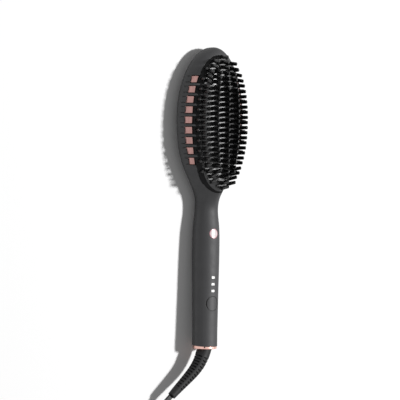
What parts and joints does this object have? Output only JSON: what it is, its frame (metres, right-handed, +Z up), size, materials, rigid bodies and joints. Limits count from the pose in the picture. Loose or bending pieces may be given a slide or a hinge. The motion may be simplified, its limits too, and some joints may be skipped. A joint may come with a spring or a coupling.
{
  "type": "heated straightening brush",
  "caption": "Heated straightening brush with an oval bristle head, side vents, a round handle with a push button and lights, and a flat mains cord on a swivel.",
  "frame": {"origin": "on the surface the brush lies on, under the middle of the casing, without the cord", "axes": "+Y along the handle towards the tip of the head, +Z up and towards the bristles, +X across"},
  "size_m": [0.1089, 0.5292, 0.0512],
  "materials": {
    "casing": "fine matte, soft-touch graphite",
    "rose_gold": "satin rose gold",
    "frame_black": "satin black",
    "ceramic": "glossy ceramic coating",
    "bristle": "glossy black",
    "heat_resin": "moulded",
    "heater_foil": "satin",
    "mica": "matte",
    "steel": "satin",
    "sensor_glass": "glossy",
    "fuse_metal": "satin",
    "wire_white": "matte",
    "wire_yellow": "matte",
    "wire_brown": "matte",
    "circuit_board": "lacquered",
    "board_part": "satin",
    "led": "glossy",
    "lens_white": "milky, glossy",
    "switch_black": "satin",
    "plunger": "satin",
    "pearl": "glossy pearl",
    "swivel_resin": "moulded",
    "brass": "polished",
    "boot_rubber": "matte",
    "cord_jacket": "satin",
    "tie_black": "woven",
    "plug_black": "fine texture"
  },
  "bodies": {
    "casing": {"back_shell": "casing", "front_shell": "casing", "vent_trim_left": "rose_gold", "vent_trim_right": "rose_gold", "bristle_frame": "frame_black", "heater_plate": "ceramic", "heater_fins": "ceramic", "outer_bristles": "bristle", "long_bristles": "bristle", "short_bristles": "bristle", "plate_carrier": "heat_resin", "ptc_heater": "heater_foil", "heater_insulator": "mica", "heater_clamp": "steel", "clamp_screws": "steel", "thermistor": "sensor_glass", "thermal_fuse": "fuse_metal", "heater_wires": "wire_white", "sensor_wires": "wire_yellow", "mains_wires": "wire_brown", "control_board": "circuit_board", "board_parts": "board_part", "board_screws": "steel", "leds": "led", "led_lenses": "lens_white", "tact_switch": "switch_black", "badge_disc": "pearl", "end_ring": "rose_gold", "ring_pin": "steel", "swivel_housing": "swivel_resin", "contact_springs": "brass", "head_screws": "steel", "handle_screws": "steel"},
    "button": {"power_button": "casing", "switch_plunger": "plunger"},
    "swivel": {"swivel_barrel": "swivel_resin", "contact_rings": "brass", "strain_relief": "boot_rubber", "cord": "cord_jacket", "cord_coil": "cord_jacket", "cord_tie": "tie_black", "plug_relief": "boot_rubber", "plug_body": "plug_black", "plug_blades": "brass"}
  },
  "joints": [
    {"name": "power_button", "type": "slide", "parent": "casing", "child": "button", "axis": [0, -0.0388, -0.9992], "range_m": [0, 0.0006], "stiffness_N_per_m": 2000, "springref_m": -0.0003},
    {"name": "cord_swivel", "type": "hinge", "parent": "casing", "child": "swivel", "pos_m": [0, -0.15588, 0.01866], "axis": [0, 0.9992, -0.0388], "continuous": true}
  ]
}
